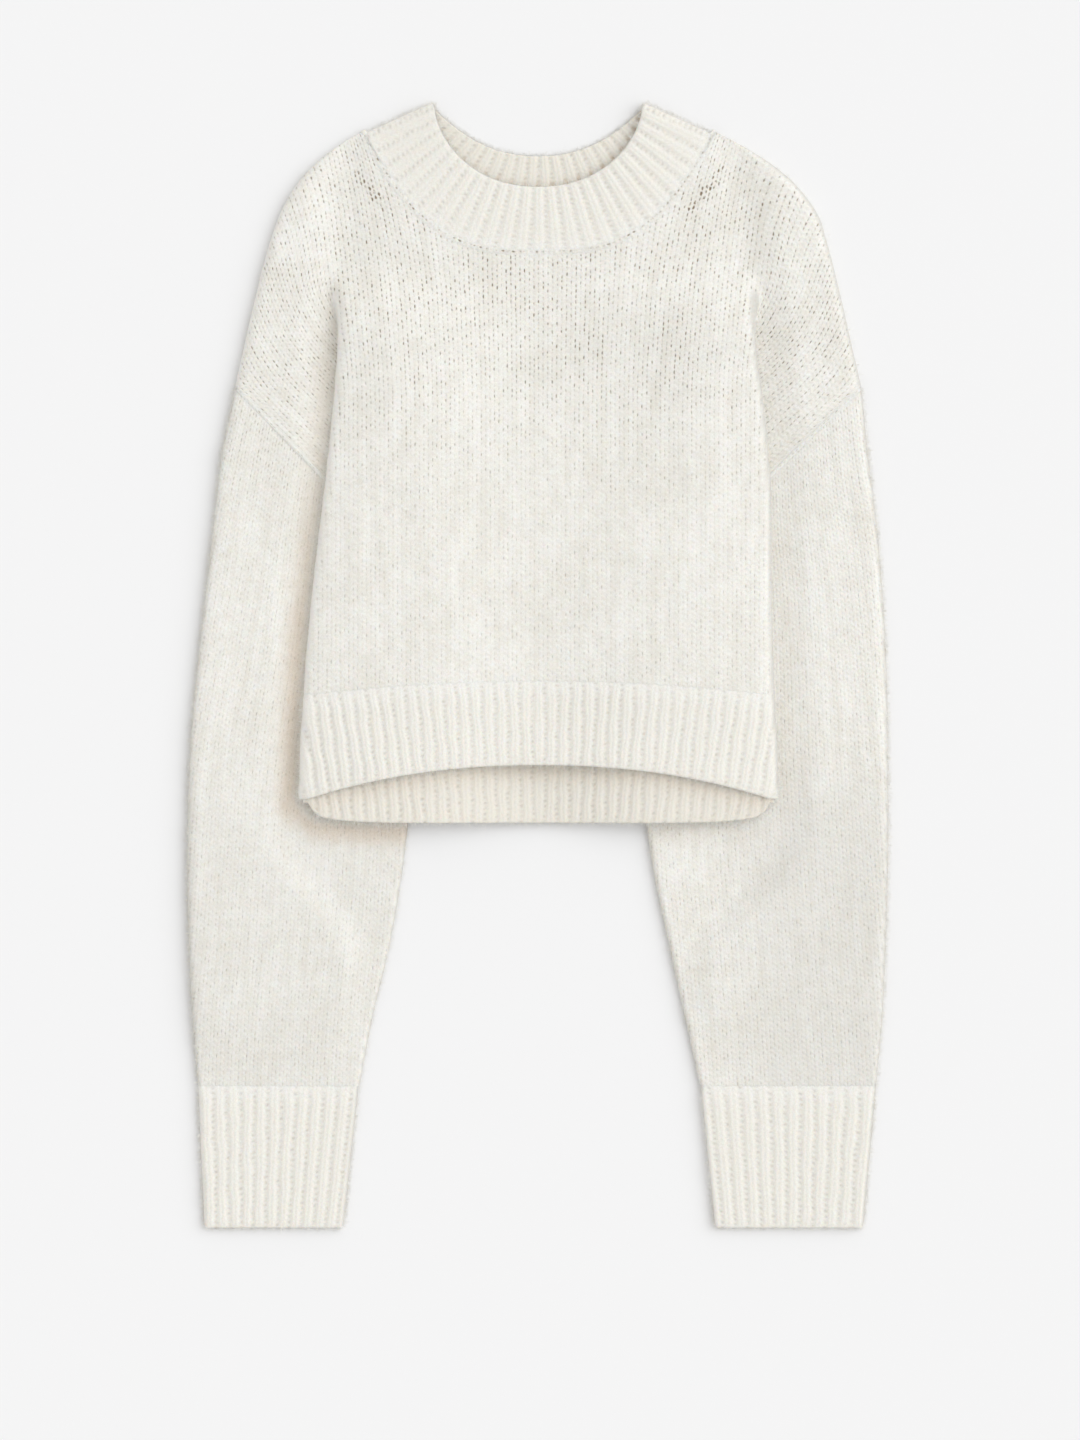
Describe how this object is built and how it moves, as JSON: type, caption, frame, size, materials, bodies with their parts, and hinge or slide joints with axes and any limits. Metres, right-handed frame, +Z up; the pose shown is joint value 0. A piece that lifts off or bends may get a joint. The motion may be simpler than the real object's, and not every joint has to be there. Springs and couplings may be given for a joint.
{
  "type": "cropped knit sweater",
  "caption": "Cropped drop-shoulder knit sweater laid flat, with ribbed crew neckband, hems and cuffs and its sides and sleeves folded in behind the body.",
  "frame": {"origin": "centre of the bounding box's bottom face, on the surface the sweater lies on", "axes": "+Y towards the neck, +Z up off the surface, +X towards the sleeve that lies on the right when seen from above with the neck at the top"},
  "size_m": [0.49, 0.7858, 0.0213],
  "materials": {
    "body_knit": "brushed cream stockinette wool knit",
    "rib_knit": "brushed cream 1x1 ribbed wool knit"
  },
  "bodies": {
    "root": {"front_panel": "body_knit", "back_panel": "body_knit", "sleeve_left": "body_knit", "sleeve_right": "body_knit", "front_hem": "rib_knit", "back_hem": "rib_knit", "cuff_left": "rib_knit", "cuff_right": "rib_knit", "neckband": "rib_knit"}
  },
  "joints": []
}
